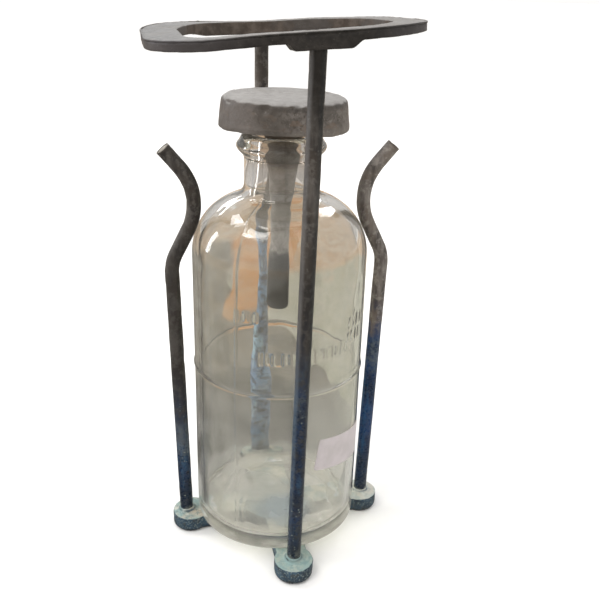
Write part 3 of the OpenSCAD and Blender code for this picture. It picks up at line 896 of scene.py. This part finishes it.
def raised_marks(angle, z):
    """Height of the plain raised bars that stand in for the moulded lettering."""
    total = np.zeros_like(z)
    deg = np.degrees(angle)
    bars = [(-112 + 5.6 * k, 81.0 + 0.05 * k, 0.45 + 0.4 * (k * 7 % 3), 2.2 - 0.5 * (k * 5 % 2))
            for k in range(12)]
    bars += [(-50 + 4.6 * k + 1.5 * j, 84.0 + 5.2 * j, 0.5 + 0.35 * ((k + j) % 2), 1.9)
             for k in range(4) for j in range(2)]
    bars += [(-128 + 6.4 * k, 95.0, 0.5 + 0.3 * (k % 2), 1.4) for k in range(3)]
    for azimuth, height, half_w, half_h in bars:
        across = np.abs((deg - azimuth + 180) % 360 - 180) * pi / 180 * BOTTLE_R
        box = np.maximum(across / half_w, np.abs(z - height) / half_h)
        total = np.maximum(total, smooth(1.25, 0.75, box))
    return total


def outer_ring(r, z, a, seams, mark_height):
    """A ring of the glass's outside, with its ripples, fill line, seams and raised marks."""
    if r <= 11:
        return np.full_like(a, r)
    at = np.column_stack([np.cos(a) * BOTTLE_R, np.sin(a) * BOTTLE_R, np.full_like(a, z * 0.5)])
    bodied = smooth(BOTTLE_Z, 20, z) * smooth(BOTTLE_TOP - 2, 120, z)
    swell = 0.06 * value_noise(at, 14, 51) * bodied
    line = 0.40 * np.exp(-((z - ACID_LINE_Z) / 0.42) ** 2) * (r > BOTTLE_R - 0.5)
    marks = raised_marks(wrapped(a), np.full_like(a, z)) * mark_height if 75 < z < 99 else 0
    return r + swell + line + seams * smooth(8, 11, z) * smooth(143, 138, z) + marks


def inner_ring(r, z, a, at):
    """A ring of the bore, which is wavy, thick in one place and creased near the floor."""
    bodied = smooth(16, 30, z) * smooth(132, 112, z)
    from_thick = wrapped(a - THICK_AZIMUTH) * BORE_R
    level = exp(-((z - 60) / 44) ** 6)
    thick = level * np.exp(-(from_thick / 10) ** 2)
    calm = 1 - 0.9 * level * np.exp(-(from_thick / 16) ** 4)
    waves = 0.20 * value_noise(at, 11, 52) + 0.10 * value_noise(at, 5, 53)
    from_crease = wrapped(a - SEAM_AZIMUTH - 0.05) * BORE_R + 0.5 * sin(z * 0.4)
    crease = 0.16 * np.exp(-(from_crease / 0.6) ** 2) * smooth(13, 16, z) * smooth(33, 24, z)
    return r + waves * bodied * calm - 0.9 * thick - crease


def make_bottle():
    around = 512
    outer, neck_z = bottle_outer()
    outer = soften(resample(outer, 0.45), 3)
    inner = soften(resample(bottle_inner(neck_z), 0.6), 3)
    a = ring_angles(around)
    from_seam = np.abs(wrapped(a - SEAM_AZIMUTH))
    from_seam = np.minimum(from_seam, np.abs(wrapped(a - SEAM_AZIMUTH + pi))) * BOTTLE_R
    seams = 0.14 * np.exp(-(from_seam / 0.32) ** 2)
    mark_height = 0.26 - 0.12 * smooth(-1.2, -0.9, wrapped(a))
    rows = []
    for r, z in outer:
        q = outer_ring(r, z, a, seams, mark_height)
        rows.append(np.stack([q * np.cos(a), q * np.sin(a), np.full(around, z)], 1))
    wave = np.stack([np.cos(a), np.sin(a)], 1) * BOTTLE_R
    for r, z in inner:
        at = np.column_stack([wave * 0.9, np.full(around, z * 0.16)])
        q = inner_ring(r, z, a, at)
        lump = 0.10 * value_noise(at * [r / 30, r / 30, 1], 7, 54) * smooth(30, 14, z)
        rows.append(np.stack([q * np.cos(a), q * np.sin(a), z + lump], 1))
    obj = raw_mesh("bottle_glass", in_box(np.concatenate(rows)), capped_tube(len(rows), around))
    finish_piece(obj, clear_glass(), "bottle", "bottle")


# -------------------- stopper and label

def make_stopper():
    """The lead casting: a dented head, a plug and a long waisted stem with a bulb."""
    profile = [(0.05, -STEM_L)] + arc(2.15, -STEM_L + 1.6, 1.6, -90, 0, 6)
    profile += [(3.75, -STEM_L + 8), (3.65, -STEM_L + 14), (2.95, -STEM_L + 24)]
    profile += [(3.15, -STEM_L + 30), (4.35, -16), (5.3, -8), (6.15, -2.7), (7.5, 0.0)]
    profile += arc(HEAD_R - 1.0, 1.0, 1.0, -90, 0, 5)
    profile += arc(HEAD_R - 3.0, HEAD_T - 2.3, 2.2, 0, 90, 9)
    profile += [(12, HEAD_T - 0.05), (0.05, HEAD_T - 0.2)]
    profile = soften(resample(profile, 0.42), 2)
    points, faces = revolved(profile, 300)
    x, y, z = points.T
    spin, radius = np.arctan2(y, x), np.hypot(x, y)

    def dent(azimuth, level, depth, size):
        turn = radians(azimuth)
        at = np.array([HEAD_R * cos(turn), HEAD_R * sin(turn), level])
        return depth * np.exp(-((points - at) ** 2).sum(1) / size ** 2)

    head = smooth(-0.5, 0.5, z)
    height = 0.16 * fbm(points, 9, 61) + 0.07 * fbm(points, 2.2, 62)
    height = head * (height - 0.22 * pits(points, 1.7, 63, 0.45))
    height += (1 - head) * (0.05 * fbm(points, 3.0, 64) - 0.06 * pits(points, 1.1, 65, 0.4))
    edge = np.exp(-((z - 0.4) / 0.8) ** 2) * smooth(17, 20, radius)
    height -= 0.30 * edge * pits(points, 2.2, 66, 0.2)
    brim = np.exp(-((z - 9.3) / 1.1) ** 2) * smooth(15, 18, radius)
    brim *= 0.35 + 0.55 * smooth(-60, -100, np.degrees(spin))
    height -= brim * pits(points, 3.0, 67, 0.05)
    height -= dent(-118, 8.4, 1.0, 1.2) + dent(-80, 3.4, 0.25, 2.2)
    lifted = 1.5 * smooth(3.6, 0.4, z) * head * smooth(9, 17, radius)
    lifted *= np.exp(-(wrapped(spin + 1.85) / 0.75) ** 4)
    obj = raw_mesh("stopper_casting", points, faces)
    x, y, z = (points + normals_of(obj) * (height - 0.06)[:, None]).T
    x = x - STEM_BEND * (np.minimum(points[:, 2], 0) / STEM_L) ** 2
    x, z = turned(x, z + lifted, -STOPPER_LEAN)
    p = np.stack([x + STOPPER_SHIFT, y, z + HEAD_Z], 1)
    set_points(obj, p)
    finish_piece(obj, lead_metal(), "stopper", "stopper")


def make_label():
    """A small blank paper label stuck round the bottle's side, a little crooked."""
    half_w, half_h, corner = 12.5, 6.0, 0.9
    slope, azimuth = radians(-9), radians(-49)
    wide, high = 61, 31
    u, v = np.linspace(-half_w, half_w, wide), np.linspace(-half_h, half_h, high)
    uu, vv = np.meshgrid(u, v, indexing="ij")
    uu, vv = uu.ravel().copy(), vv.ravel().copy()
    over_u, over_v = np.abs(uu) - (half_w - corner), np.abs(vv) - (half_h - corner)
    far = np.hypot(np.maximum(over_u, 0), np.maximum(over_v, 0))
    pull = np.where((over_u > 0) & (over_v > 0) & (far > corner), corner / np.maximum(far, 1e-9), 1.0)
    uu = np.sign(uu) * np.where(over_u > 0, half_w - corner + over_u * pull, np.abs(uu))
    vv = np.sign(vv) * np.where(over_v > 0, half_h - corner + over_v * pull, np.abs(vv))
    y, z = turned(uu, vv, slope)
    rows = []
    for lift in (0.10, 0.24):
        r = BOTTLE_R + lift + 0.03 * value_noise(np.stack([uu, vv, 0 * uu], 1), 4, 71)
        rows.append(np.stack([*turned(np.sqrt(r * r - y * y), y, azimuth), z + LABEL_Z], 1))
    count = len(uu)
    sheet = grid_faces(wide, high, wrap=False)
    faces = [list(f[::-1]) for f in sheet] + [list(f + count) for f in sheet]
    rim = list(range(high)) + [i * high + high - 1 for i in range(1, wide)]
    rim += [(wide - 1) * high + k for k in range(high - 2, -1, -1)]
    rim += [i * high for i in range(wide - 2, 0, -1)]
    for k, first in enumerate(rim):
        second = rim[(k + 1) % len(rim)]
        faces.append([first, second, second + count, first + count])
    obj = raw_mesh("blank_label", np.concatenate(rows), faces)
    finish_piece(obj, label_paper(), "lot_label", "bottle")


# -------------------- stage, light and camera

def disc(name, radii, z, material):
    """A flat disc round the origin that faces up."""
    points, faces = revolved([(r, z) for r in radii], 96)
    obj = raw_mesh(name, points, [f[::-1] for f in faces[:-2]] + [list(range(96))])
    obj.data.materials.append(material)
    return obj


def make_floor():
    floor = disc("floor", (0.5, 400, 3000, 12000), -0.001, floor_paper())


def painted_table_glow():
    """Warm grey patches of a workshop table, which only the glass and the gloss pick up.

    The card glows instead of being lit, so its tones are painted light, with a painted pool of
    light to the right of the bottle and a paler painted light under and round it.
    """
    s = Shader("painted_table_glow")
    s.tree.nodes.remove(s.bsdf)
    x, y = s.x, s.y
    far = s.math("SQRT", s.square_distance(x, y))
    mid = s.noise(24, 2, seed=51)
    rough_y = s.add(y, s.scaled(mid, 0.02, -0.01))
    rough_far = s.add(far, s.scaled(mid, 0.02, -0.01))
    near = s.mix(s.ramp(mid, 0.42, 0.56), (0.13, 0.128, 0.118), (0.26, 0.25, 0.235))
    near = s.over(near, (0.48, 0.47, 0.44), x, 0.018, 0.03)
    # painted light: the table is paler under and round the bottle, for the light that comes through
    # the glass
    near = s.over(near, (0.48, 0.475, 0.45), far, 0.047, 0.054, 1, 0)
    near = s.over(near, (0.66, 0.65, 0.61), rough_y, -0.01, -0.026)
    # a painted pool of light to the right of the bottle
    lit = s.times(s.ramp(x, 0.008, 0.02), s.ramp(y, 0.03, 0.045, 1, 0))
    near = s.mix(lit, near, (0.76, 0.75, 0.7))
    cloth = s.mix(s.ramp(mid, 0.42, 0.58), (0.3, 0.28, 0.235), (0.41, 0.375, 0.315))
    card = s.mix(s.ramp(mid, 0.4, 0.6), (0.8, 0.42, 0.18), (0.86, 0.53, 0.28))
    wood = s.mix(s.ramp(mid, 0.4, 0.6), (0.78, 0.57, 0.38), (0.88, 0.74, 0.58))
    sheet = s.mix(s.ramp(mid, 0.35, 0.65), (0.66, 0.66, 0.54), (0.78, 0.77, 0.66))
    tone = s.mix(s.ramp(rough_far, 0.075, 0.15), near, cloth)
    tone = s.mix(s.times(s.ramp(rough_y, 0.215, 0.235), s.ramp(x, 0.004, 0.02)), tone, card)
    tone = s.mix(s.times(s.ramp(y, 0.235, 0.27), s.ramp(x, 0.058, 0.075)), tone, wood)
    tone = s.over(tone, wood, far, 0.34, 0.42)
    # The pale sheet lies beyond a slanting edge, and part of it is covered by a tongue of the card
    edge = s.add(s.scaled(x, 0.929, -0.0242), s.scaled(y, 0.369, -0.0646))
    on = s.times(s.ramp(edge, 0.0, 0.003), s.ramp(rough_y, 0.235, 0.265, 1, 0))
    tone = s.mix(on, tone, sheet)
    beside = s.scaled(y, -0.4, s.add(x, 0.042))
    tongue = s.times(s.ramp(beside, -0.048, -0.042), s.ramp(beside, -0.003, 0.001, 1, 0))
    tongue = s.times(tongue, s.ramp(rough_y, 0.182, 0.194))
    tone = s.mix(tongue, tone, card)
    # the card glows instead of being lit: painted light
    glow = s.new("Emission")
    s.feed(glow.inputs[0], tone)
    glow.inputs[1].default_value = 0.85
    s.show(glow.outputs[0])
    return s.material


def make_painted_table_glow():
    card = disc("painted_table_glow", (0.5, 400, 3000), 0.05, painted_table_glow())
    card.visible_camera = card.visible_diffuse = card.visible_shadow = False


def aimed(location, target):
    """The place of a lamp at location that shines at target."""
    way = (Vector(target) - Vector(location)).normalized()
    return Matrix.Translation(location) @ way.to_track_quat("-Z", "Y").to_matrix().to_4x4()


def soft_box(name, location, target, width, height, power, color=(1, 1, 1)):
    light = bpy.data.lights.new(name, "AREA")
    light.shape, light.size, light.size_y = "RECTANGLE", width, height
    light.energy, light.color = power, color
    obj = bpy.data.objects.new(name, light)
    obj.matrix_world = aimed(location, target)
    bpy.context.scene.collection.objects.link(obj)


def make_light():
    """A sky that is brighter overhead and plain to the camera, a soft sun and five lamps."""
    world = bpy.data.worlds.new("studio")
    bpy.context.scene.world = world
    world.use_nodes = True
    tree = world.node_tree
    place, split, rise, seen, pick = (tree.nodes.new("ShaderNode" + kind) for kind in
                                      ("TexCoord", "SeparateXYZ", "MapRange", "LightPath", "Mix"))
    for name, value in (("From Min", 0.0), ("From Max", 0.9), ("To Min", 0.56), ("To Max", 1.13)):
        rise.inputs[name].default_value = value
    pick.inputs[3].default_value = 1.0
    back = tree.nodes["Background"]
    back.inputs[0].default_value = (1.0, 0.99, 0.975, 1)
    for output, socket in ((place.outputs["Generated"], split.inputs[0]),
                           (split.outputs[2], rise.inputs["Value"]),
                           (seen.outputs["Is Camera Ray"], pick.inputs[0]),
                           (rise.outputs[0], pick.inputs[2]), (pick.outputs[0], back.inputs[1])):
        tree.links.new(output, socket)
    sun = bpy.data.lights.new("key", "SUN")
    sun.energy, sun.angle, sun.color = 0.9, 0.4, (1.0, 0.985, 0.96)
    key = bpy.data.objects.new("key", sun)
    key.matrix_world = aimed((-0.55, -0.25, 1.15), (0, 0, 0))
    bpy.context.scene.collection.objects.link(key)
    soft_box("window_left", (-0.50, 0.40, 0.90), (0, 0, 0.12), 0.34, 0.24, 2.0, (0.96, 0.97, 1.0))
    soft_box("window_right", (0.58, 0.56, 0.72), (0, 0, 0.12), 0.24, 0.30, 1.8, (0.98, 0.97, 1.0))
    soft_box("strip_back", (-0.12, 0.95, 0.50), (0, 0, 0.12), 0.60, 0.05, 0.8, (1.0, 0.98, 0.95))
    soft_box("strip_left", (-0.88, 0.44, 0.30), (0, 0, 0.10), 0.08, 0.50, 1.9, (0.95, 0.97, 1.0))
    soft_box("lamp_front", (-0.66, -0.22, 0.95), (0, 0, 0.12), 0.16, 0.10, 0.6, (1.0, 0.99, 0.97))


def make_camera():
    """The camera at the viewing angle: a little from the left, looking down at the bottle."""
    yaw, pitch, roll = 0.22759, -0.39222, 0.02925
    level = cos(pitch)
    ahead = Vector((sin(yaw) * level, cos(yaw) * level, sin(pitch)))
    right = Vector((cos(yaw), -sin(yaw), 0))
    up = right.cross(ahead)
    side = cos(roll) * right + sin(roll) * up
    top = -sin(roll) * right + cos(roll) * up
    at = Vector((-0.0488134, -0.2433474, 0.1923369))
    data = bpy.data.cameras.new("camera")
    data.sensor_width, data.lens = 36, 46.326
    data.clip_start, data.clip_end = 0.01, 60
    camera = bpy.data.objects.new("camera", data)
    camera.matrix_world = Matrix(((side.x, top.x, -ahead.x, at.x), (side.y, top.y, -ahead.y, at.y),
                                  (side.z, top.z, -ahead.z, at.z), (0, 0, 0, 1)))
    bpy.context.scene.collection.objects.link(camera)
    bpy.context.scene.camera = camera


make_rods()
make_prongs()
make_base()
make_yoke()
make_bottle()
make_stopper()
make_label()
make_floor()
make_painted_table_glow()
make_light()
make_camera()
bpy.context.scene.view_settings.view_transform = "Standard"
bpy.context.view_layer.update()
